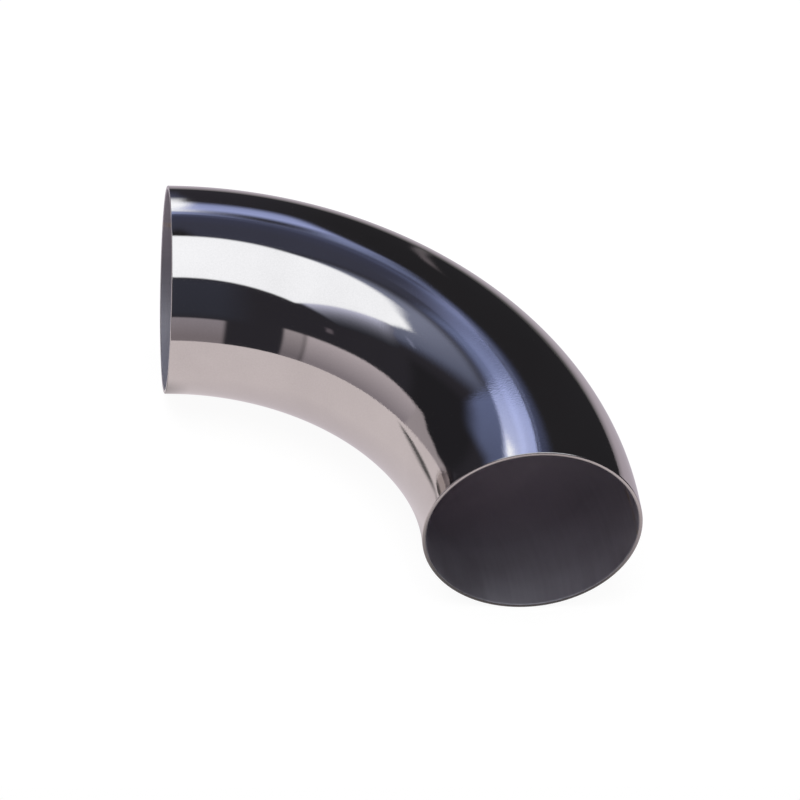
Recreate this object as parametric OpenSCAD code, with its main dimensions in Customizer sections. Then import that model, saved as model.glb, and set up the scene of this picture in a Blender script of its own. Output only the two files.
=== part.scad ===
// Polished 90 degree flue elbow: two pressed half shells, joined by a seam weld along the
// outside of the bend and another along its inside, with straight, dressed ends.
//
// The origin is the centre of the inlet's end face. The tube runs along +X from there, then
// bends towards -Y. The bend lies in the XY plane, and that plane also parts the two shells.

/* [Tube] */
// Outside diameter of the tube
tube_od = 101.6; // [60:0.1:160]
// Thickness of the sheet that the half shells are pressed from
wall = 2; // [1:0.1:4]

/* [Bend] */
// Radius of the bend, to the centreline of the tube
bend_r = 158.5; // [110:0.5:300]
// Angle that the elbow turns the flow through
bend_angle = 90; // [30:1:180]
// Straight length between each end face and the bend
tangent_l = 4; // [2:0.5:80]

/* [Dressed ends] */
// Chamfer on the outside edge of each end face
outer_chamfer = 0.3; // [0.1:0.05:0.45]
// Chamfer on the inside edge of each end face
inner_chamfer = 0.3; // [0.1:0.05:0.45]

/* [Seam welds] */
// Width of the weld metal between the two half shells
weld_w = 3; // [2:0.1:6]
// Height of the root bead, which stands proud inside the bend
root_h = 0.5; // [0.2:0.1:1]
// Slope at which the root bead is ground away before each straight end, in degrees
bead_ramp = 10; // [8:1:20]

/* [Hidden] */
$fn = 96;
outer_r = tube_od / 2;
inner_r = outer_r - wall;
bend_centre = [tangent_l, -bend_r, 0];
// The root bead is round: its crest is root_h high on a chord of weld_w.
root_foot = sqrt(inner_r * inner_r - weld_w * weld_w / 4);
root_r = (weld_w * weld_w / 4 + root_h * root_h) / (2 * root_h);
// Cutting shapes reach this far past the surfaces that they cut.
over = 1;

// Sections are drawn looking along the tube: X points away from the centre of the bend, Y up.

// The ring of the tube's wall.
module wall_section() {
    difference() {
        circle(r = outer_r);
        circle(r = inner_r);
    }
}

// What one pressed shell keeps of the ring: all that lies above the weld metal.
module shell_section() {
    intersection() {
        wall_section();
        translate([-outer_r - over, weld_w / 2])
            square([2 * (outer_r + over), outer_r]);
    }
}

// Weld metal: it fills the gap between the shells, flush outside and with a bead inside.
module weld_section() {
    intersection() {
        translate([root_foot - root_h - over, -weld_w / 2])
            square([outer_r, weld_w]);
        circle(r = outer_r);
        union() {
            wall_section();
            translate([root_foot - root_h + root_r, 0])
                circle(r = root_r);
        }
    }
}

// Stands a section up at an end of the bend and runs it straight along +X.
module run_straight(length) {
    rotate([90, 0, 90])
        linear_extrude(height = length)
            children();
}

// Carries a section along the whole elbow: straight, round the bend, and straight.
module sweep_elbow() {
    run_straight(tangent_l) children();
    translate(bend_centre)
        rotate([0, 0, 90 - bend_angle])
            rotate_extrude(angle = bend_angle)
                translate([bend_r, 0])
                    children();
    translate(bend_centre)
        rotate([0, 0, -bend_angle])
            translate([0, bend_r, 0])
                run_straight(tangent_l) children();
}

// Puts a shape made at the inlet at both ends, with +X pointing into the tube.
module at_both_ends() {
    children();
    translate(bend_centre)
        rotate([0, 0, -bend_angle])
            translate([tangent_l, bend_r, 0])
                rotate([0, 0, 180])
                    children();
}

// Metal that the two chamfers take off the lip of an end face.
module lip_cut() {
    rotate([0, 90, 0]) {
        translate([0, 0, -over])
            cylinder(r1 = inner_r + inner_chamfer + over, r2 = inner_r - over,
                     h = inner_chamfer + 2 * over);
        difference() {
            translate([0, 0, -over])
                cylinder(r = outer_r + over, h = outer_chamfer + over);
            translate([0, 0, -over])
                cylinder(r1 = outer_r - outer_chamfer - over, r2 = outer_r + over,
                         h = outer_chamfer + 2 * over);
        }
    }
}

// Metal ground off the root bead: the bore is clear along each straight end, so that a pipe or
// a plug can enter, and past that a slope runs out over the bead.
module bead_cut() {
    ramp_l = 2 * root_h / tan(bead_ramp);
    rotate([0, 90, 0]) {
        translate([0, 0, -over])
            cylinder(r = inner_r, h = tangent_l + over);
        translate([0, 0, tangent_l])
            cylinder(r1 = inner_r, r2 = inner_r - 2 * root_h, h = ramp_l);
    }
}

// One piece of the elbow, swept from its section, with both its ends dressed.
module dressed() {
    difference() {
        sweep_elbow() children();
        at_both_ends() lip_cut();
    }
}

// A seam weld, whose root bead is ground flush at both ends.
module dressed_weld() {
    difference() {
        dressed() children();
        at_both_ends() bead_cut();
    }
}

module upper_half_shell() {
    color("#b9b4b2") dressed() shell_section();
}

module lower_half_shell() {
    color("#aaa6a5") dressed() mirror([0, 1]) shell_section();
}

// The weld along the outside of the bend.
module outer_seam_weld() {
    color("#8d8d93") dressed_weld() weld_section();
}

// The weld along the inside of the bend.
module inner_seam_weld() {
    color("#8d8d93") dressed_weld() mirror([1, 0]) weld_section();
}

upper_half_shell();
lower_half_shell();
outer_seam_weld();
inner_seam_weld();
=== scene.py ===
import math

import bpy
import numpy as np
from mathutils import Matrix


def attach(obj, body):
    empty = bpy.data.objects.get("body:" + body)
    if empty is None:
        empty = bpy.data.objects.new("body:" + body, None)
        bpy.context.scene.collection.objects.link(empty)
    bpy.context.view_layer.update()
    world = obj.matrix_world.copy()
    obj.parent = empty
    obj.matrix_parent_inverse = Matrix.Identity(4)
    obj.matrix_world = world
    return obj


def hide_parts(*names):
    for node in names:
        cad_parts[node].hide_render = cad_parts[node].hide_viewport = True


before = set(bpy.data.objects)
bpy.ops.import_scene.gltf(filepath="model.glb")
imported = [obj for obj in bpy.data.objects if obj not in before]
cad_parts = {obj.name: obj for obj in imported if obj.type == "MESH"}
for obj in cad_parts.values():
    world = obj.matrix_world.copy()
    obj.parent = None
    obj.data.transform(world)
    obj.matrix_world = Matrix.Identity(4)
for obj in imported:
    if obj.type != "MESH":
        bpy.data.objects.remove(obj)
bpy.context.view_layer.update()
print("frame loaded")

# Camera. Azimuth turns from looking along +Y, elevation is up from level and roll is about
# the line of sight, all in degrees.
viewpoint = {
    "target": (0.10877, -0.07597, 0.0),
    "distance": 1.4883,
    "azimuth": -10.236,
    "elevation": 43.033,
    "roll": 7.768,
    "lens": 141.0,
    "sensor": 36.0,
    "clip": (0.01, 100.0),
}


# back = (sin az cos el, -cos az cos el, sin el); right and up are level and square to it,
# then both are turned by the roll
def placeCamera(view):
    az = math.radians(view["azimuth"])
    el = math.radians(view["elevation"])
    roll = math.radians(view["roll"])
    back = np.array([math.sin(az) * math.cos(el), -math.cos(az) * math.cos(el), math.sin(el)])
    right = np.cross(-back, [0.0, 0.0, 1.0])
    right /= np.linalg.norm(right)
    up = np.cross(back, right)
    turned = np.eye(4)
    turned[:3, 0] = right * math.cos(roll) + up * math.sin(roll)
    turned[:3, 1] = up * math.cos(roll) - right * math.sin(roll)
    turned[:3, 2] = back
    turned[:3, 3] = np.array(view["target"]) + back * view["distance"]
    data = bpy.data.cameras.new("viewCamera")
    data.lens = view["lens"]
    data.sensor_width = view["sensor"]
    data.clip_start, data.clip_end = view["clip"]
    cam = bpy.data.objects.new("viewCamera", data)
    bpy.context.scene.collection.objects.link(cam)
    cam.matrix_world = turned.T.tolist()
    bpy.context.scene.camera = cam


placeCamera(viewpoint)
bpy.context.scene.view_settings.view_transform = "Standard"
print("camera placed")


# one shader node of the given kind, with its settings given by name
def addNode(tree, kind, **values):
    node = tree.nodes.new(kind)
    for key, value in values.items():
        setattr(node, key, value)
    return node


# one sum: the operation on a, b and c, each of them a number or another node's output
def calc(tree, operation, a, b=None, c=None):
    node = addNode(tree, "ShaderNodeMath", operation=operation)
    for slotIndex, value in enumerate((a, b, c)):
        if value is None:
            continue
        if isinstance(value, (int, float)):
            node.inputs[slotIndex].default_value = value
        else:
            tree.links.new(value, node.inputs[slotIndex])
    return node.outputs[0]


# straight line from (lowIn, lowOut) to (highIn, highOut), level past both of its ends
def remap(tree, value, lowIn, highIn, lowOut, highOut):
    node = addNode(tree, "ShaderNodeMapRange", clamp=True)
    tree.links.new(value, node.inputs["Value"])
    node.inputs["From Min"].default_value = lowIn
    node.inputs["From Max"].default_value = highIn
    node.inputs["To Min"].default_value = lowOut
    node.inputs["To Max"].default_value = highOut
    return node.outputs["Result"]


# a vector times three scales, one for each axis
def stretched(tree, source, scale):
    node = addNode(tree, "ShaderNodeVectorMath", operation="MULTIPLY")
    tree.links.new(source, node.inputs[0])
    node.inputs[1].default_value = scale
    return node.outputs["Vector"]


# cloudy noise of a vector, about 0.5: lumps 1 / scale wide, then finer layers, each of them
# roughness times as strong as the one before
def noise(tree, vector, scale, detail, roughness):
    node = addNode(tree, "ShaderNodeTexNoise", noise_dimensions="3D")
    tree.links.new(vector, node.inputs["Vector"])
    node.inputs["Scale"].default_value = scale
    node.inputs["Detail"].default_value = detail
    node.inputs["Roughness"].default_value = roughness
    return node.outputs["Fac"]


# first (1 - factor) + second factor, where a plain colour may stand for either
def blendColours(tree, factor, first, second):
    node = addNode(tree, "ShaderNodeMix", data_type="RGBA")
    tree.links.new(factor, node.inputs["Factor"])
    for slotIndex, colour in ((6, first), (7, second)):
        if isinstance(colour, tuple):
            node.inputs[slotIndex].default_value = colour + (1.0,)
        else:
            tree.links.new(colour, node.inputs[slotIndex])
    return node.outputs[2]


# the point itself, in metres
def placeOf(tree):
    return addNode(tree, "ShaderNodeTexCoord").outputs["Object"]


# sweep = (length along the tube, length round it, radius)
def sweepOf(tree):
    return addNode(tree, "ShaderNodeAttribute", attribute_name="sweep").outputs["Vector"]


# a vector's first part
def firstOf(tree, vector):
    split = addNode(tree, "ShaderNodeSeparateXYZ")
    tree.links.new(vector, split.inputs[0])
    return split.outputs["X"]


# bare metal, with no finish yet
def newMetal(name):
    mat = bpy.data.materials.new(name)
    mat.use_nodes = True
    shader = mat.node_tree.nodes["Principled BSDF"]
    shader.inputs["Metallic"].default_value = 1.0
    return mat, mat.node_tree, shader


# bumps laid over each other: each tilts the normal by the slope of its height times distance
def addBump(tree, shader, heights):
    normal = None
    for height, distance in heights:
        bump = addNode(tree, "ShaderNodeBump")
        bump.inputs["Strength"].default_value = 1.0
        bump.inputs["Distance"].default_value = distance
        tree.links.new(height, bump.inputs["Height"])
        if normal is not None:
            tree.links.new(normal, bump.inputs["Normal"])
        normal = bump.outputs["Normal"]
    tree.links.new(normal, shader.inputs["Normal"])


# in each finish a noise is given by its scale, detail and roughness
mirror = {
    "lighter": (0.572, 0.535, 0.52),
    "darker": (0.495, 0.462, 0.449),
    "roughness": (0.03, 0.06),
    "cloud": (18.0, 3.0, 0.55),
    "cloudShare": 0.6,
    "speck": (1900.0, 1.0, 0.6),
    "speckShare": 0.4,
    "hairs": (1.0, 2.0, 0.6),
    "hairStretch": (2600.0, 60.0, 1.0),
    "hairDulling": 0.03,
    "hairHeight": 0.0000006,
    "peel": (1500.0, 1.0, 0.5),
    "peelHeight": 0.000012,
    "peelFrom": (0.09, 0.19, 0.12),
    "wave": (26.0, 1.0, 0.4),
    "waveHeight": 0.00001,
}


# mirror polish: cloudy roughness, hairline buffing marks round the tube, a very slight wave, and
# a fine peel that grows in a straight line from its least share at the first length to full at
# the second; each colour and roughness is a straight line in its noise
def makeMirrorSteel(m):
    mat, tree, shader = newMetal("mirrorSteel")
    place, sweep = placeOf(tree), sweepOf(tree)
    cloud = noise(tree, place, *m["cloud"])
    hairs = noise(tree, stretched(tree, sweep, m["hairStretch"]), *m["hairs"])
    wave = noise(tree, place, *m["wave"])
    first, second, least = m["peelFrom"]
    grown = remap(tree, firstOf(tree, sweep), first, second, least, 1.0)
    peel = calc(tree, "MULTIPLY", noise(tree, place, *m["peel"]), grown)
    speck = remap(tree, noise(tree, place, *m["speck"]), 0.3, 0.7, 0.0, 1.0)
    patchy = remap(tree, cloud, 0.35, 0.7, 0.0, m["cloudShare"])
    mixed = calc(tree, "MULTIPLY_ADD", speck, m["speckShare"], patchy)
    colour = blendColours(tree, mixed, m["lighter"], m["darker"])
    tree.links.new(colour, shader.inputs["Base Color"])
    dulled = remap(tree, cloud, 0.3, 0.75, *m["roughness"])
    marks = remap(tree, hairs, 0.62, 0.85, 0.0, m["hairDulling"])
    tree.links.new(calc(tree, "ADD", dulled, marks), shader.inputs["Roughness"])
    bumps = ((wave, m["waveHeight"]), (peel, m["peelHeight"]), (hairs, m["hairHeight"]))
    addBump(tree, shader, bumps)
    return mat


satin = {
    "colour": (0.505, 0.478, 0.52),
    "darker": (0.43, 0.405, 0.44),
    # painted light: the bore's colour deep inside, paler to make up for the light that doesn't
    # reach there
    "paintedDeepLight": (0.665, 0.635, 0.67),
    "paintedDeepShare": 0.85,
    "depths": (0.04, 0.07, 0.1285),
    "roughness": (0.55, 0.70),
    "mottle": (55.0, 4.0, 0.6),
    "streaks": (1.0, 3.0, 0.6),
    "streakStretch": (18.0, 420.0, 1.0),
    "grain": (1400.0, 2.0, 0.5),
    "grainHeight": 0.00001,
}


# bare inside: dull satin with soft streaks that run along the bore, and painted light that makes it
# paler deep inside, where less light reaches; depth = middle - |x - middle| of the distance x along
# the bore
def makeSatinBore(m):
    mat, tree, shader = newMetal("satinBore")
    place, sweep = placeOf(tree), sweepOf(tree)
    mottle = noise(tree, place, *m["mottle"])
    streaks = noise(tree, stretched(tree, sweep, m["streakStretch"]), *m["streaks"])
    grain = noise(tree, place, *m["grain"])
    both = calc(tree, "MULTIPLY_ADD", streaks, 0.5, calc(tree, "MULTIPLY", mottle, 0.5))
    mixed = remap(tree, both, 0.38, 0.62, 0.0, 1.0)
    colour = blendColours(tree, mixed, m["colour"], m["darker"])
    shallow, deep, middle = m["depths"]
    away = calc(tree, "ABSOLUTE", calc(tree, "SUBTRACT", firstOf(tree, sweep), middle))
    # share of painted light: full deep in the bore, none near the ends
    deepPaintedLight = remap(tree, away, middle - deep, middle - shallow, m["paintedDeepShare"], 0.0)
    colour = blendColours(tree, deepPaintedLight, colour, m["paintedDeepLight"])
    tree.links.new(colour, shader.inputs["Base Color"])
    low, high = m["roughness"]
    tree.links.new(remap(tree, both, 0.35, 0.65, high, low), shader.inputs["Roughness"])
    addBump(tree, shader, ((grain, m["grainHeight"]),))
    return mat


lip = {
    "colour": (0.52, 0.485, 0.475),
    "roughness": (0.13, 0.22),
    "rings": (1.0, 2.0, 0.6),
    "ringStretch": (400.0, 30.0, 9000.0),
    "ringHeight": 0.000003,
}


# dressed end faces: fine rings left by the facing tool, a noise of the sweep that is stretched
# most across the wall
def makeDressedLip(m):
    mat, tree, shader = newMetal("dressedLip")
    rings = noise(tree, stretched(tree, sweepOf(tree), m["ringStretch"]), *m["rings"])
    shader.inputs["Base Color"].default_value = m["colour"] + (1.0,)
    tree.links.new(remap(tree, rings, 0.3, 0.7, *m["roughness"]), shader.inputs["Roughness"])
    addBump(tree, shader, ((rings, m["ringHeight"]),))
    return mat


weldRoot = {
    "colour": (0.50, 0.468, 0.49),
    "tint": (0.44, 0.36, 0.27),
    "tintShare": 0.8,
    "roughness": (0.44, 0.60),
    "patches": (60.0, 3.0, 0.6),
    "grain": (1800.0, 2.0, 0.5),
    "grainHeight": 0.00001,
}


# root side of a seam: frosty weld metal, its roughness a straight line in the grain, with
# patches of straw heat tint where the patch noise is high
def makeWeldRoot(m):
    mat, tree, shader = newMetal("weldRoot")
    place = placeOf(tree)
    grain = noise(tree, place, *m["grain"])
    tinted = remap(tree, noise(tree, place, *m["patches"]), 0.42, 0.66, 0.0, m["tintShare"])
    colour = blendColours(tree, tinted, m["colour"], m["tint"])
    tree.links.new(colour, shader.inputs["Base Color"])
    tree.links.new(remap(tree, grain, 0.3, 0.7, *m["roughness"]), shader.inputs["Roughness"])
    addBump(tree, shader, ((grain, m["grainHeight"]),))
    return mat


mirrorSteel = makeMirrorSteel(mirror)
satinBore = makeSatinBore(satin)
dressedLip = makeDressedLip(lip)
rootMetal = makeWeldRoot(weldRoot)
print("finishes made")


# Metres, as in the part: the origin is the middle of the inlet's end face.
elbow = {
    "outerRadius": 0.05077,
    "innerRadius": 0.0488,
    "bendRadius": 0.1585,
    "straight": 0.004,
    "lipRound": 0.0004,
    "lipBevel": 0.0004,
    "bevelPlaces": (0.0, 0.12, 0.88, 1.0),
    "bevelAngles": (12.0, 42.0, 48.0, 90.0),
    "seamWidth": 0.003,
    "rootHeight": 0.0005,
    "rootRamp": math.tan(math.radians(10.0)),
    "rippleHeight": 0.00006,
    "ripplePitch": 0.0016,
    "bendSteps": 150,
    "straightSteps": 4,
    "lipSteps": 9,
    "aroundSteps": 144,
    "seamSteps": 10,
}
innerRadius = elbow["innerRadius"]
totalLength = 2 * elbow["straight"] + elbow["bendRadius"] * math.pi / 2


# centre line at length s: the turned angle is a = (s - straight) / bendRadius, held to the
# quarter turn, and what length is left over runs on along the tangent (cos a, -sin a)
def centreLine(s):
    turned = np.clip((s - elbow["straight"]) / elbow["bendRadius"], 0.0, math.pi / 2)
    left = s - elbow["straight"] - turned * elbow["bendRadius"]
    sine, cosine, flat = np.sin(turned), np.cos(turned), np.zeros_like(s)
    outward = np.stack([sine, cosine, flat], -1)
    along = np.stack([cosine, -sine, flat], -1)
    hub = np.array([elbow["straight"], -elbow["bendRadius"], 0.0])
    middle = hub + outward * elbow["bendRadius"] + along * left[..., None]
    return middle, outward, along


# lengthwise section of the wall as one closed loop: along the outside from the middle of the
# inlet's lip to the middle of the outlet's, then back along the inside, step for step. The
# lip's outer edge is a quarter round, s = R (1 - cos phi), r = outer - R + R sin phi; its inner
# edge is a bevel, s = B t, r = inner + B (1 - t), with its own corners softened in the normals.
# Gives for each step its length s, radius r, the normal's parts ahead along the tube and up
# from the axis, and whether it is on a lip and on the bore's side.
def wallLoop():
    outer, rounding, bevel = elbow["outerRadius"], elbow["lipRound"], elbow["lipBevel"]
    phi = np.linspace(0.0, math.pi / 2, elbow["lipSteps"] + 1)
    t = np.linspace(0.0, 1.0, elbow["lipSteps"] + 1)
    psi = np.radians(np.interp(t, elbow["bevelPlaces"], elbow["bevelAngles"]))
    straight = np.linspace(rounding, elbow["straight"], elbow["straightSteps"] + 1)[1:]
    quarter = elbow["bendRadius"] * math.pi / 2
    bend = elbow["straight"] + np.linspace(0.0, quarter, elbow["bendSteps"] + 1)[1:]
    straightIn = np.linspace(bevel, elbow["straight"], elbow["straightSteps"] + 1)[1:]
    rows = []
    edges = ((rounding * (1 - np.cos(phi)), outer - rounding + rounding * np.sin(phi),
              np.sin(phi), -np.cos(phi), straight, outer, 1.0),
             (bevel * t, innerRadius + bevel * (1 - t),
              -np.sin(psi), -np.cos(psi), straightIn, innerRadius, -1.0))
    for lipS, lipR, lipUp, lipAlong, run, wallR, wallUp in edges:
        start = np.concatenate([lipS, run])
        s = np.concatenate([start, bend, (totalLength - start)[::-1][1:]])
        wall = np.ones(len(s) - 2 * len(t))
        r = np.concatenate([lipR, wallR * wall, lipR[::-1]])
        up = np.concatenate([lipUp, wallUp * wall, lipUp[::-1]])
        ahead = np.concatenate([lipAlong, 0 * wall, -lipAlong[::-1]])
        rows.append((s, r, up, ahead))
    (sOut, rOut, upOut, aheadOut), (sIn, rIn, upIn, aheadIn) = rows
    onLip = np.concatenate([0 * t + 1, 0 * wall, 0 * t + 1])
    land = (outer - rounding + innerRadius + bevel) / 2
    return {
        "s": np.concatenate([[0.0], sOut, [totalLength], sIn[::-1]]),
        "r": np.concatenate([[land], rOut, [land], rIn[::-1]]),
        "ahead": np.concatenate([[-1.0], aheadOut, [1.0], aheadIn[::-1]]),
        "up": np.concatenate([[0.0], upOut, [0.0], upIn[::-1]]),
        "lip": np.concatenate([[1], onLip, [1], onLip[::-1]]).astype(int),
        "bore": np.concatenate([[0], 0 * sOut, [0], 0 * sIn + 1]).astype(int),
    }


# normal = radial up + along ahead, by the loop's own two parts at each step
def wallNormals(loop, radial, along):
    return radial * loop["up"][:, None, None] + along[:, None] * loop["ahead"][:, None, None]


# a closed loop carried across: faces join loop step i and i + 1 over every step across, and
# a strip of quads closes each of the two edges, from the outside wall to the inside wall
def loopFaces(loopCount, acrossCount):
    i, j = np.meshgrid(np.arange(loopCount), np.arange(acrossCount - 1), indexing="ij")
    here = i * acrossCount + j
    ahead = (i + 1) % loopCount * acrossCount + j
    skin = np.stack([here, ahead, ahead + 1, here + 1], -1).reshape(-1, 4)
    outside = np.arange(loopCount // 2)
    within = (loopCount - outside) % loopCount
    strip = np.stack([outside, within, loopCount - outside - 1, outside + 1], -1)
    low = strip * acrossCount
    high = strip[:, ::-1] * acrossCount + acrossCount - 1
    return skin, low, high


# a mesh object at the origin, made from points and the numbers of each face's points
def addObject(name, points, faces):
    mesh = bpy.data.meshes.new(name)
    mesh.from_pydata(points.reshape(-1, 3).tolist(), [], faces)
    obj = bpy.data.objects.new(name, mesh)
    bpy.context.scene.collection.objects.link(obj)
    return obj


# a piece with its sweep attribute, its material on each face and its own corner normals: those
# of the points, or of the face where faceNormals isn't blank. A face whose first or last points
# meet loses the repeated one.
def buildPiece(name, points, normals, sweep, faces, faceNormals, materialIndex, materials):
    faces = [tuple(dict.fromkeys(face)) for face in faces.tolist()]
    piece = addObject(name, points, faces)
    mesh = piece.data
    for mat in materials:
        mesh.materials.append(mat)
    mesh.polygons.foreach_set("material_index", materialIndex.astype(np.int32))
    mesh.polygons.foreach_set("use_smooth", np.ones(len(faces), bool))
    layer = mesh.attributes.new("sweep", "FLOAT_VECTOR", "POINT")
    layer.data.foreach_set("vector", sweep.astype(np.float32).ravel())
    cornerVertex = np.zeros(len(mesh.loops), np.int32)
    mesh.loops.foreach_get("vertex_index", cornerVertex)
    counts = np.array([len(face) for face in faces])
    cornerFace = np.repeat(np.arange(len(faces)), counts)
    corner = normals.reshape(-1, 3)[cornerVertex]
    flat = ~np.isnan(faceNormals[cornerFace, 0])
    corner[flat] = faceNormals[cornerFace][flat]
    mesh.update()
    mesh.normals_split_custom_set(corner.tolist())
    mesh.validate()
    return piece


# makes a piece of a wall loop that was carried across by theta: sweep = (s, theta r, r), faces
# turned outward whichever side the piece is on, lip and bore in their own materials, and each
# edge strip with one flat normal
def closeLoop(name, side, loop, points, normals, theta, edgeNormals, materials):
    s, r, lipStep, boreStep = loop["s"], loop["r"], loop["lip"], loop["bore"]
    across = theta.shape[1]
    sweep = np.stack([np.broadcast_to(s[:, None], theta.shape), theta * r[:, None],
                      np.broadcast_to(r[:, None], theta.shape)], -1)
    skin, low, high = loopFaces(len(s), across)
    if side > 0:
        skin, low, high = skin[:, ::-1], low[:, ::-1], high[:, ::-1]
    lipRow = (lipStep & np.roll(lipStep, -1))[:, None]
    boreRow = (boreStep & np.roll(boreStep, -1))[:, None]
    index = np.where(boreRow, 1, np.where(lipRow, 2, 0)) + np.zeros((1, across - 1), int)
    index = np.concatenate([index.ravel(), np.full(len(low) + len(high), 1)])
    faceNormals = np.full((len(index), 3), np.nan)
    faceNormals[len(skin):len(skin) + len(low)] = edgeNormals[0]
    faceNormals[len(skin) + len(low):] = edgeNormals[1]
    faces = np.concatenate([skin, low, high])
    return buildPiece(name, points, normals, sweep, faces, faceNormals, index, materials)


upward = np.array([0.0, 0.0, 1.0])


# half shell: theta runs from seam to seam, theta = edge + t (pi - 2 edge) with
# sin(edge) = half the seam's width / r; point = middle + r (cos theta outward + sin theta up)
def makeShell(name, side):
    loop = wallLoop()
    s, r = loop["s"], loop["r"]
    t = np.linspace(0.0, 1.0, elbow["aroundSteps"] + 1)
    edge = np.arcsin(elbow["seamWidth"] / 2 / r)[:, None]
    theta = side * (edge + t[None, :] * (math.pi - 2 * edge))
    middle, outward, along = centreLine(s)
    radial = np.cos(theta)[..., None] * outward[:, None] + np.sin(theta)[..., None] * upward
    points = middle[:, None] + radial * r[:, None, None]
    normals = wallNormals(loop, radial, along)
    edgeNormals = (-side * upward, -side * upward)
    materials = (mirrorSteel, satinBore, dressedLip)
    return closeLoop(name, side, loop, points, normals, theta, edgeNormals, materials)


# root bead: a round back on a chord as wide as the seam, back = (half^2 + crest^2) / 2 crest,
# held under a ramp from each straight end, and rippled along its length by chevrons
# s - z^2 / 2 half, one to each pitch
def beadHeight(s, z):
    half, crest = elbow["seamWidth"] / 2, elbow["rootHeight"]
    foot = math.sqrt(innerRadius ** 2 - half ** 2)
    back = (half ** 2 + crest ** 2) / (2 * crest)
    surface = foot - crest + back - np.sqrt(back ** 2 - z ** 2)
    full = np.sqrt(innerRadius ** 2 - z ** 2) - surface
    fromEnd = np.minimum(s, totalLength - s) - elbow["straight"]
    ramp = np.clip(fromEnd * elbow["rootRamp"], 0.0, None)
    chevron = s - np.abs(z) ** 2 / half * 0.5
    ripple = 0.5 - 0.5 * np.cos(2 * math.pi * chevron / elbow["ripplePitch"])
    rippled = 1 - ripple * elbow["rippleHeight"] / crest
    return np.clip(np.minimum(full, ramp) * rippled, 0.0, None)


# seam weld: z runs across the seam; the outside is flush, x = sqrt(r^2 - z^2) from the axis,
# and on the inside the root bead is taken off that
def makeWeld(name, side):
    loop = wallLoop()
    s, r = loop["s"], loop["r"]
    z = np.linspace(-0.5, 0.5, elbow["seamSteps"] + 1) * elbow["seamWidth"]
    x = np.sqrt(r[:, None] ** 2 - z[None, :] ** 2)
    onBead = (loop["bore"] & ~loop["lip"])[:, None]
    bead = beadHeight(s[:, None], z[None, :]) * onBead
    middle, outward, along = centreLine(s)
    level = z[None, :, None] * upward
    points = middle[:, None] + side * (x - bead)[..., None] * outward[:, None] + level
    radial = side * x[..., None] * outward[:, None] + level
    radial /= np.linalg.norm(radial, axis=-1, keepdims=True)
    normals = wallNormals(loop, radial, along)
    # on the bead the slopes tilt the normal: back along the tube and down each flank
    stretch = (elbow["bendRadius"] + side * innerRadius) / elbow["bendRadius"]
    slopeS = np.gradient(bead, axis=0) / np.gradient(s)[:, None].clip(None, -1e-9) / stretch
    slopeZ = np.gradient(bead, axis=1) / np.gradient(z)[None, :]
    tilt = along[:, None] * slopeS[..., None] + upward * slopeZ[..., None]
    normals = np.where(onBead[..., None].astype(bool), normals - tilt, normals)
    normals /= np.linalg.norm(normals, axis=-1, keepdims=True)
    theta = np.arcsin(z[None, :] / r[:, None])
    if side < 0:
        theta = math.pi - theta
    edgeNormals = (-upward, upward)
    materials = (mirrorSteel, rootMetal, dressedLip)
    return closeLoop(name, side, loop, points, normals, theta, edgeNormals, materials)


pieces = (
    ("upperShell", makeShell, 1, "upper_half_shell", "polished_steel"),
    ("lowerShell", makeShell, -1, "lower_half_shell", "polished_steel"),
    ("outerSeam", makeWeld, 1, "outer_seam_weld", "weld_metal"),
    ("innerSeam", makeWeld, -1, "inner_seam_weld", "weld_metal"),
)
for pieceName, make, side, node, slotName in pieces:
    piece = make(pieceName, side)
    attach(piece, "root")
    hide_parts(node)
    print(pieceName, "made with", len(piece.data.polygons), "faces")


table = {
    "height": -0.0508,
    "x": (-0.245, 0.55),
    "y": (-0.27, 0.60),
    "corner": 0.19,
    "cornerSteps": 48,
    "lamplit": 0.10,                # share of the lamplight it gives back
    "lift": 0.92,                   # its own white, as the camera sees it
    "nearTone": (0.83, 0.765, 0.785),
    "farTone": (0.44, 0.39, 0.45),
    "turns": (-0.05, 0.12),         # x + y where the near tone starts to turn and has turned
    "fadeSlope": 0.5,
    "fades": (0.24, 0.60),          # y + x fadeSlope where it starts to fade and is gone
}
inletShade = {
    "line": (-0.036, 0.11),         # runs along y = first + second x
    "width": (-0.16, 0.0, 0.009, 0.024),    # over these two x it widens between these widths
    "edge": (0.25, 1.0),            # shares of the width where it is full and where it ends
    "comes": (-0.19, -0.11),        # x where it comes in
    "goes": (-0.012, 0.012),        # x where it goes out
    "depth": 0.95,
}
outletShade = {
    "middle": (0.165, -0.172),
    "half": (0.095, 0.075),
    "edge": (0.45, 1.1),            # shares of the half sizes where it is full and where it ends
    "depth": 0.9,
}


# a material of the studio, empty so far; its light is only met by rays, never aimed at
def newStageMaterial(name):
    mat = bpy.data.materials.new(name)
    mat.use_nodes = True
    mat.node_tree.nodes.clear()
    mat.cycles.emission_sampling = "NONE"
    return mat, mat.node_tree


# the glow by itself, or with another shader's light added to it
def endStageMaterial(tree, glow, other=None):
    surface = glow.outputs[0]
    if other is not None:
        both = addNode(tree, "ShaderNodeAddShader")
        tree.links.new(surface, both.inputs[0])
        tree.links.new(other.outputs[0], both.inputs[1])
        surface = both.outputs[0]
    out = addNode(tree, "ShaderNodeOutputMaterial")
    tree.links.new(surface, out.inputs["Surface"])


# marks a piece of the studio that only the metal's reflections see
def stageForMetal(obj):
    obj.visible_camera = False
    obj.visible_diffuse = False
    obj.visible_shadow = False


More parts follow.
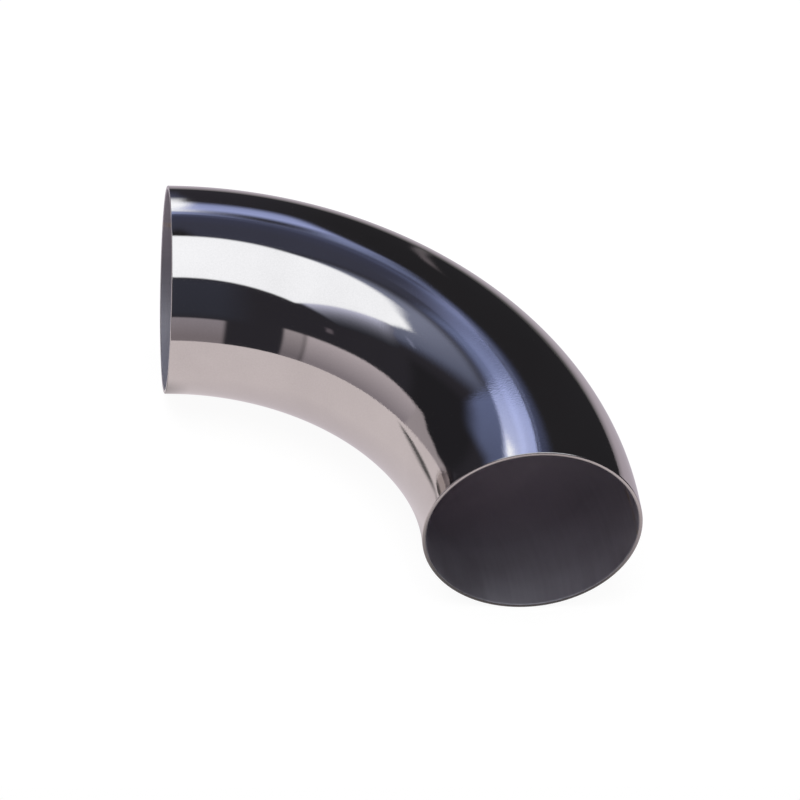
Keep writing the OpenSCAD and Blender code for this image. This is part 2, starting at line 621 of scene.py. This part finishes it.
# what a soft shadow band leaves of the light: 1 - comes goes core, where core falls from 1 to 0
# as |y - line| / width runs through the edge
def shadeUnderInlet(tree, shade, x, y):
    start, slope = shade["line"]
    line = calc(tree, "MULTIPLY", x, slope)
    across = calc(tree, "SUBTRACT", calc(tree, "SUBTRACT", y, start), line)
    width = remap(tree, x, *shade["width"])
    part = calc(tree, "DIVIDE", calc(tree, "ABSOLUTE", across), width)
    core = remap(tree, part, *shade["edge"], 1.0, 0.0)
    comes = remap(tree, x, *shade["comes"], 0.0, shade["depth"])
    goes = remap(tree, x, *shade["goes"], 1.0, 0.0)
    cover = calc(tree, "MULTIPLY", core, calc(tree, "MULTIPLY", comes, goes))
    return calc(tree, "SUBTRACT", 1.0, cover)


# what a round soft shadow leaves of the light, by r = sqrt((dx / a)^2 + (dy / b)^2)
def shadeUnderOutlet(tree, shade, x, y):
    squares = []
    for value, middle, half in zip((x, y), shade["middle"], shade["half"]):
        part = calc(tree, "DIVIDE", calc(tree, "SUBTRACT", value, middle), half)
        squares.append(calc(tree, "POWER", part, 2.0))
    radius = calc(tree, "SQRT", calc(tree, "ADD", *squares))
    return remap(tree, radius, *shade["edge"], 1 - shade["depth"], 1.0)


# White wherever it is seen: part lamplight and part lift, so the shadow stays light. The metal
# sees it dimmer behind the elbow, then fading out, with soft shadows under both ends.
def makeTableWhite(t):
    mat, tree = newStageMaterial("tableWhite")
    path = addNode(tree, "ShaderNodeLightPath")
    flat = addNode(tree, "ShaderNodeSeparateXYZ")
    tree.links.new(addNode(tree, "ShaderNodeTexCoord").outputs["Object"], flat.inputs[0])
    x, y = flat.outputs["X"], flat.outputs["Y"]
    behind = remap(tree, calc(tree, "ADD", x, y), *t["turns"], 0.0, 1.0)
    tone = blendColours(tree, behind, t["nearTone"], t["farTone"])
    away = calc(tree, "MULTIPLY_ADD", x, t["fadeSlope"], y)
    level = remap(tree, away, *t["fades"], 1.0, 0.0)
    level = calc(tree, "MULTIPLY", level, shadeUnderInlet(tree, inletShade, x, y))
    level = calc(tree, "MULTIPLY", level, shadeUnderOutlet(tree, outletShade, x, y))
    direct = path.outputs["Is Camera Ray"]
    glossy, through = path.outputs["Is Glossy Ray"], path.outputs["Is Transmission Ray"]
    mirrored = calc(tree, "MULTIPLY", calc(tree, "MAXIMUM", glossy, through), level)
    strength = calc(tree, "MAXIMUM", calc(tree, "MULTIPLY", direct, t["lift"]), mirrored)
    glow = addNode(tree, "ShaderNodeEmission")
    tree.links.new(blendColours(tree, direct, tone, (1.0, 1.0, 1.0)), glow.inputs["Color"])
    tree.links.new(strength, glow.inputs["Strength"])
    matt = addNode(tree, "ShaderNodeBsdfDiffuse")
    matt.inputs["Color"].default_value = (t["lamplit"],) * 3 + (1.0,)
    endStageMaterial(tree, glow, matt)
    return mat


# a flat sheet with one rounded corner: point = (x0 + corner (1 - cos t), y0 + corner (1 - sin t))
def makeTable(t):
    (x0, x1), (y0, y1) = t["x"], t["y"]
    turn = np.linspace(0.0, math.pi / 2, t["cornerSteps"])
    outlineX = np.concatenate([x0 + t["corner"] * (1 - np.cos(turn)), [x1, x1, x0]])
    outlineY = np.concatenate([y0 + t["corner"] * (1 - np.sin(turn)), [y0, y1, y1]])
    outline = np.stack([outlineX, outlineY, np.full(len(outlineX), t["height"])], -1)
    top = addObject("whiteTable", outline, [tuple(range(len(outline)))])
    top.data.materials.append(makeTableWhite(t))


makeTable(table)
print("table made")


# The room as the metal sees it. Directions are azimuth, turned from +Y towards +X, and elevation,
# in degrees, and colours are light levels, so 1 is white. A panel has its azimuth from and to
# with the widths of the two soft edges, its height from and to with the widths of the soft
# edges, and its colour at the bottom and at the top.
wallPanels = {
    "darkSide": ((9, 110, 8, 30), (-90, 90, 5, 5), (0.029, 0.029, 0.033), (0.029, 0.029, 0.033)),
    "sideHaze": ((7, 22, 1, 16), (43, 54, 4, 6), (0.10, 0.12, 0.22), (0.09, 0.11, 0.19)),
    "darkLeft": ((-82, -46, 8, 8), (-6, 38, 8, 8), (0.026, 0.026, 0.031), (0.026, 0.026, 0.031)),
    "coolBack": ((160, 200, 20, 20), (14, 55, 10, 12), (0.05, 0.055, 0.075), (0.055, 0.06, 0.085)),
    "dimTop": ((-24, 9, 16, 4), (46, 90, 6, 4), (0.075, 0.085, 0.150), (0.070, 0.076, 0.115)),
    "boxSpill": ((-118, -31, 40, 17), (46, 80, 8, 4), (0.14, 0.165, 0.26), (0.30, 0.34, 0.48)),
}
# here the height is the elevation + slant times the azimuth
slantPanels = {
    "slantSpill": ((-23.5, 4.4, 14, 3.2), (30, 50.4, 4, 5), (0.26, 0.32, 0.57), (0.24, 0.30, 0.54)),
}
# here the height is the elevation + steep times the azimuth, and the azimuth leans with it
steepPanels = {
    "steepSpill": ((3.0, 9.0, 3, 2.4), (67.2, 90, 3.4, 4), (0.32, 0.39, 0.67), (0.20, 0.24, 0.42)),
}
# a round blue wall about one azimuth; here the height is the angle outside its edge
roundWall = {"azimuth": -16.0, "half": 49.65, "width": 0.7, "from": (27, 9)}
roundPanels = {
    "wing": ((-48, 4, 15, 3), (-19, 1, 12, 0.1), (0.13, 0.16, 0.28), (0.20, 0.25, 0.46)),
    "core": ((-26.5, 4.7, 4.5, 3.2), (-12, 1, 4, 0.1), (0.95, 1.08, 1.50), (0.54, 0.66, 1.18)),
}
# here the azimuth leans a little with the elevation
windowPanels = {
    "lowGlow": ((-22, 4.0, 8, 0.8), (-6, 22, 10, 6), (0.08, 0.09, 0.14), (0.17, 0.19, 0.32)),
    "skyEdge": ((2.0, 9.2, 2, 1.8), (26, 38.4, 9, 7), (0.40, 0.48, 0.84), (0.58, 0.70, 1.22)),
    "stand": ((18.4, 19.3, 0.6, 0.6), (-9, 15, 2, 10), (0.17, 0.16, 0.17), (0.20, 0.18, 0.20)),
    "knob": ((-122.5, -119.6, 1.2, 1.2), (26.6, 30.6, 2, 2), (0.19, 0.17, 0.2), (0.19, 0.17, 0.2)),
    "clamp": ((-76.8, -74.8, 1.2, 1.0), (47, 51, 2, 2), (0.30, 0.34, 0.50), (0.30, 0.34, 0.50)),
    "window": ((-24.3, 4.15, 4, 0.4), (19.5, 41.6, 14, 3), (1.75, 1.86, 1.95), (1.80, 1.92, 2.0)),
}
# pale boards that stand past the table; the top falls off as a parabola past the peak, dim is
# the azimuth below which the board is darker and by how much, and joint is the azimuth, width
# and depth of a dark line
boards = {
    "far": {"azimuth": (-140.8, -75.5), "top": 16.4, "peak": -112.0, "fall": 0.006,
            "low": (0.373, 0.339, 0.376), "high": (0.72, 0.665, 0.71), "dim": (-132.0, 0.28),
            "joint": (-131.6, 0.9, 0.5)},
    "near": {"azimuth": (172.0, 195.0), "top": 11.6, "peak": 200.0, "fall": 0.0,
             "low": (0.312, 0.280, 0.306), "high": (0.43, 0.40, 0.45), "dim": (0.0, 0.0),
             "joint": (0.0, 0.9, 0.0)},
}
boardEdges = {"sides": (1.6, 2.4), "top": 2.2, "dim": 1.2, "foot": (-30, 1), "rise": (-9, 24)}
shelf = {
    "azimuth": (-77.0, -36.0),
    "sides": (1, 6),
    "foot": (-30, 1),
    "edge": 2.0,
    "corners": (-78.0, -73.2, -66.9, -56.0, -48.0),
    "heights": (9.0, 8.3, 0.3, -5.0, -4.0),
    "colour": (0.50, 0.46, 0.49),
}
# level soft box overhead, u and v being the +X and +Y parts of a direction over its rise; its
# +Y edge runs through the given places and is blurred there by the given widths, its corners
# slope by the given amount from the given v, and past its -X edge the glow falls off as
# exp(-distance / fall)
softBox = {
    "u": (-0.71, 0.75),
    "uBlur": (0.05, 0.10),
    "v": -0.69,
    "vBlur": 0.05,
    "lowest": 0.05,                 # least rise of a direction that meets it
    "corner": (0.12, 0.55),
    "places": (-0.60, -0.47, -0.37, -0.33, -0.12),
    "edge": (0.275, 0.285, 0.325, 0.325, 0.232),
    "blur": (0.07, 0.09, 0.12, 0.09, 0.05),
    "colour": (1.63, 1.74, 1.83),
    "glow": (0.79, 0.84, 1.08),
    "glowFrom": -0.74,
    "glowSides": (-0.62, 0.09, 0.12, 0.24),
    "fall": 0.16,
}
# what is left of the room: the dark behind the panels, and how the slanted ones lie. A lean is
# degrees of azimuth for each degree of elevation above the given one.
room = {
    "dark": (0.040, 0.039, 0.049),
    "slant": 0.4,
    "slantFrom": (40, 6),           # elevation where these panels start, and its soft edge
    "steep": 3.5,
    "steepLean": (0.5, 42),
    "steepBand": (39, 47, 4, 7),    # elevation from and to, and its soft edges
    "windowLean": (-0.035, 30),
    "around": 720,
    "up": 360,
    "radius": 300.0,
    "middle": (0.08, -0.08, 0.0),
}


# 0 below the edge, 1 above it, and between them the curve 3 t^2 - 2 t^3
def smooth(value, edge, width):
    t = np.clip((value - edge) / width + 0.5, 0.0, 1.0)
    return t * t * (3.0 - 2.0 * t)


# 1 from low to high, smooth up to it and down again: smooth (1 - smooth)
def between(value, low, high, lowWidth, highWidth):
    return smooth(value, low, lowWidth) * (1.0 - smooth(value, high, highWidth))


# light (1 - cover) + colour cover
def blend(light, colour, cover):
    return light * (1 - cover[..., None]) + colour * cover[..., None]


# an azimuth moved by whole turns to within half a turn of the middle of a span
def unwrap(az, span):
    middle = (span[0] + span[1]) / 2
    return (az - middle + 180) % 360 - 180 + middle


# cover = between in azimuth times between in height; the colour runs up in a straight line, at
# most to a height of 60
def layPanel(light, az, height, panel, mask=1.0):
    (a0, a1, left, right), (h0, h1, bottom, top), low, high = panel
    cover = between(unwrap(az, (a0, a1)), a0, a1, left, right)
    cover = cover * between(height, h0, h1, bottom, top) * mask
    rise = np.clip((height - h0) / (min(h1, 60) - h0), 0, 1)[..., None]
    return blend(light, np.array(low) * (1 - rise) + np.array(high) * rise, cover)


# top = height - fall (azimuth - peak)^2 past the peak; the joint is a bell-shaped dark line
def layBoard(light, az, el, b):
    a = unwrap(az, b["azimuth"])
    top = b["top"] - b["fall"] * (a - b["peak"]) ** 2 * (a > b["peak"])
    cover = between(a, *b["azimuth"], *boardEdges["sides"]) * smooth(el, *boardEdges["foot"])
    cover = cover * (1 - smooth(el - top, 0, boardEdges["top"]))
    start, height = boardEdges["rise"]
    rise = np.clip((el - start) / height, 0, 1)[..., None]
    dimFrom, dimBy = b["dim"]
    dimmed = 1 - dimBy * (1 - smooth(a, dimFrom, boardEdges["dim"]))
    jointAt, jointWidth, jointDepth = b["joint"]
    line = 1 - jointDepth * np.exp(-((a - jointAt) / jointWidth) ** 2)
    colour = np.array(b["low"]) * (1 - rise) + np.array(b["high"]) * rise
    return blend(light, colour * (dimmed * line)[..., None], cover)


# angle = arccos of d along the wall's own level direction, less half the wall's width
def layRoundWall(light, az, el, x, y):
    turn = math.radians(roundWall["azimuth"])
    facing = np.clip(x * math.sin(turn) + y * math.cos(turn), -1, 1)
    outside = np.degrees(np.arccos(facing)) - roundWall["half"]
    onWall = (1 - smooth(outside, 0, roundWall["width"])) * smooth(el, *roundWall["from"])
    for panel in roundPanels.values():
        light = layPanel(light, az, outside, panel, onWall)
    return light


# u = x / z and v = y / z; first the glow beside the box, then the box over it
def laySoftBox(light, x, y, z, b):
    rise = np.maximum(z, 1e-3)
    u, v = x / rise, y / rise
    above = z > b["lowest"]
    glow = np.exp(-np.clip(b["glowFrom"] - u, 0, 3) / b["fall"])
    glow = glow * between(v, *b["glowSides"]) * above * (u < 0)
    light = np.maximum(light, np.array(b["glow"]) * glow[..., None])
    cornerFrom, cornerSlope = b["corner"]
    cut = np.clip(v - cornerFrom, 0, 0.2) * cornerSlope
    onBox = between(u - cut, *b["u"], *b["uBlur"]) * smooth(v, b["v"], b["vBlur"]) * above
    edge = np.interp(u, b["places"], b["edge"])
    blur = np.interp(u, b["places"], b["blur"])
    return blend(light, np.array(b["colour"]), onBox * (1 - smooth(v, edge, blur)))


# the light that comes from each direction d, panel laid over panel from the back forward
def roomLight(d):
    x, y, z = d[..., 0], d[..., 1], d[..., 2]
    az = np.degrees(np.arctan2(x, y))
    el = np.degrees(np.arcsin(np.clip(z, -1, 1)))
    light = np.zeros(d.shape) + np.array(room["dark"])
    for panel in wallPanels.values():
        light = layPanel(light, az, el, panel)
    for panel in slantPanels.values():
        slanted = el + room["slant"] * az
        light = layPanel(light, az, slanted, panel, smooth(el, *room["slantFrom"]))
    lean, level = room["steepLean"]
    for panel in steepPanels.values():
        steep = el + room["steep"] * az
        inBand = between(el, *room["steepBand"])
        light = layPanel(light, az + lean * (el - level), steep, panel, inBand)
    light = layRoundWall(light, az, el, x, y)
    lean, level = room["windowLean"]
    for panel in windowPanels.values():
        light = layPanel(light, az + lean * (el - level), el, panel)
    for board in boards.values():
        light = layBoard(light, az, el, board)
    top = np.interp(az, shelf["corners"], shelf["heights"])
    onShelf = between(az, *shelf["azimuth"], *shelf["sides"]) * smooth(el, *shelf["foot"])
    onShelf = onShelf * (1 - smooth(el, top, shelf["edge"]))
    light = blend(light, np.array(shelf["colour"]), onShelf)
    return laySoftBox(light, x, y, z, softBox)


# a sphere of directions d = (sin a cos e, cos a cos e, sin e), lit by roomLight
def makeRoom(r):
    around, up = r["around"], r["up"]
    a = np.linspace(-math.pi, math.pi, around + 1)[:-1]
    e = np.linspace(-math.pi / 2, math.pi / 2, up + 1)
    ee, aa = np.meshgrid(e, a, indexing="ij")
    d = np.stack([np.sin(aa) * np.cos(ee), np.cos(aa) * np.cos(ee), np.sin(ee)], -1)
    light = roomLight(d).reshape(-1, 3)
    points = np.array(r["middle"]) + d * r["radius"]
    i, j = np.meshgrid(np.arange(up), np.arange(around), indexing="ij")
    row, nextRow, nextJ = i * around, (i + 1) * around, (j + 1) % around
    faces = np.stack([row + j, nextRow + j, nextRow + nextJ, row + nextJ], -1).reshape(-1, 4)
    shell = addObject("studioRoom", points, faces.tolist())
    layer = shell.data.attributes.new("light", "FLOAT_COLOR", "POINT")
    colours = np.hstack([light, np.ones((len(light), 1))]).astype(np.float32)
    layer.data.foreach_set("color", colours.ravel())
    mat, tree = newStageMaterial("studioLight")
    glow = addNode(tree, "ShaderNodeEmission")
    colour = addNode(tree, "ShaderNodeAttribute", attribute_name="light")
    tree.links.new(colour.outputs["Color"], glow.inputs["Color"])
    endStageMaterial(tree, glow)
    shell.data.materials.append(mat)
    stageForMetal(shell)


makeRoom(room)
print("room made")


# a small blue card hung near the elbow, so that its reflection shifts along the bend; it hangs
# the given distance from what it is aimed at, and fades out at its edges
card = {
    "aim": (0.1235, -0.083, 0.0566),
    "azimuth": 0.0,
    "elevation": 50.0,
    "distance": 0.35,
    "half": (0.055, 0.024),
    "steps": 24,
    "colour": (0.28, 0.335, 0.60),
    "level": (0.37, 0.95),          # how bright it is all over, and what is added at its tip
}


# point = middle + across u + along v, where across and along lie on the slopes of the card's
# plane; glow = (first + second u^3 where u > 0) (1 - u^8) (1 - v^2)^2 over its half sizes
def makeCard(c):
    az, el = math.radians(c["azimuth"]), math.radians(c["elevation"])
    away = np.array([math.sin(az) * math.cos(el), math.cos(az) * math.cos(el), math.sin(el)])
    right = np.array([math.cos(az), -math.sin(az), 0.0])
    up = np.cross(right, away)
    across = (right - up) / math.sqrt(2) * c["half"][0]
    along = (right + up) / math.sqrt(2) * c["half"][1]
    steps, wide = c["steps"], c["steps"] + 1
    line = np.linspace(-1.0, 1.0, wide)
    v, u = np.meshgrid(line, line, indexing="ij")
    middle = np.array(c["aim"]) + away * c["distance"]
    points = middle + across * u[..., None] + along * v[..., None]
    even, bright = c["level"]
    level = even + bright * np.clip(u, 0.0, 1.0) ** 3
    level = level * (1 - u ** 8) * (1 - v ** 2) ** 2
    i, j = np.meshgrid(np.arange(steps), np.arange(steps), indexing="ij")
    corner = i * wide + j
    faces = np.stack([corner, corner + 1, corner + wide + 1, corner + wide], -1).reshape(-1, 4)
    sheet = addObject("nearCard", points, faces.tolist())
    layer = sheet.data.attributes.new("level", "FLOAT", "POINT")
    layer.data.foreach_set("value", level.ravel())
    mat, tree = newStageMaterial("cardLight")
    glow = addNode(tree, "ShaderNodeEmission")
    glow.inputs["Color"].default_value = c["colour"] + (1.0,)
    strength = addNode(tree, "ShaderNodeAttribute", attribute_name="level")
    tree.links.new(strength.outputs["Fac"], glow.inputs["Strength"])
    endStageMaterial(tree, glow, addNode(tree, "ShaderNodeBsdfTransparent"))
    sheet.data.materials.append(mat)
    stageForMetal(sheet)


makeCard(card)
print("card made")


backdrop = {"seen": 1.0, "lighting": 0.75}


# white where it is seen, and plain light on the table; seen = camera, glossy or transmission ray
def makeWorld(b):
    world = bpy.data.worlds.new("plainWhite")
    bpy.context.scene.world = world
    world.use_nodes = True
    tree = world.node_tree
    tree.nodes.clear()
    path = addNode(tree, "ShaderNodeLightPath")
    seen = calc(tree, "MAXIMUM", path.outputs["Is Camera Ray"], path.outputs["Is Glossy Ray"])
    seen = calc(tree, "MAXIMUM", seen, path.outputs["Is Transmission Ray"])
    sky = addNode(tree, "ShaderNodeBackground")
    sky.inputs["Color"].default_value = (1.0, 1.0, 1.0, 1.0)
    strength = remap(tree, seen, 0.0, 1.0, b["lighting"], b["seen"])
    tree.links.new(strength, sky.inputs["Strength"])
    out = addNode(tree, "ShaderNodeOutputWorld")
    tree.links.new(sky.outputs[0], out.inputs["Surface"])


makeWorld(backdrop)

lamp = {"place": (-0.15, -0.25, 1.2), "size": 0.9, "watts": 9.0}


# a square soft lamp that shines straight down on the table; the metal doesn't show it
def makeLamp(soft):
    data = bpy.data.lights.new("softLamp", "AREA")
    data.shape = "SQUARE"
    data.size = soft["size"]
    data.energy = soft["watts"]
    obj = bpy.data.objects.new("softLamp", data)
    obj.location = soft["place"]
    obj.visible_glossy = False
    bpy.context.scene.collection.objects.link(obj)


makeLamp(lamp)
print("studio made")
